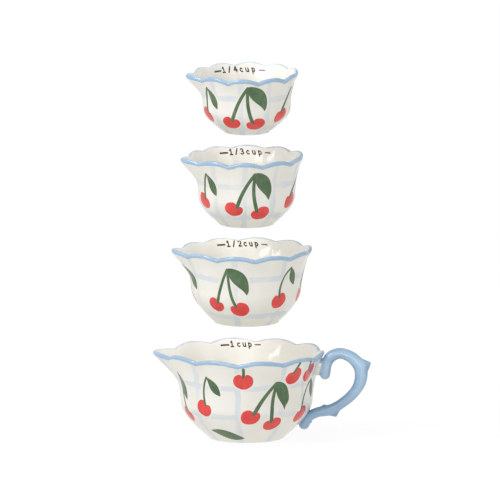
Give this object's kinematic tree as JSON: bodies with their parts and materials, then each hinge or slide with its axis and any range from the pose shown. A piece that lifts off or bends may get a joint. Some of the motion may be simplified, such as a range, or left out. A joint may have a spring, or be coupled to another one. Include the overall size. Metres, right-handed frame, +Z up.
{
  "type": "measuring cup set",
  "caption": "Nesting scalloped ceramic measuring cups with pouring spouts and painted cherries; the largest has a scroll handle.",
  "frame": {"origin": "centre of the largest cup's flat foot, on the axis that the cups share", "axes": "+Z up along the shared axis; the largest cup pours towards -X and its handle is at +X"},
  "size_m": [0.1439, 0.1002, 0.2436],
  "materials": {
    "painted_glaze": "gloss",
    "blue_glaze": "gloss"
  },
  "bodies": {
    "one_cup": {"one_cup_body": "painted_glaze", "one_cup_handle": "blue_glaze"},
    "half_cup": {"half_cup_body": "painted_glaze"},
    "third_cup": {"third_cup_body": "painted_glaze"},
    "quarter_cup": {"quarter_cup_body": "painted_glaze"}
  },
  "joints": [
    {"name": "half_cup_nest", "type": "slide", "parent": "one_cup", "child": "half_cup", "axis": [0, 0, -1], "range_m": [0, 0.0695]},
    {"name": "third_cup_nest", "type": "slide", "parent": "half_cup", "child": "third_cup", "axis": [0, 0, -1], "range_m": [0, 0.0588]},
    {"name": "quarter_cup_nest", "type": "slide", "parent": "third_cup", "child": "quarter_cup", "axis": [0, 0, -1], "range_m": [0, 0.0508]}
  ]
}
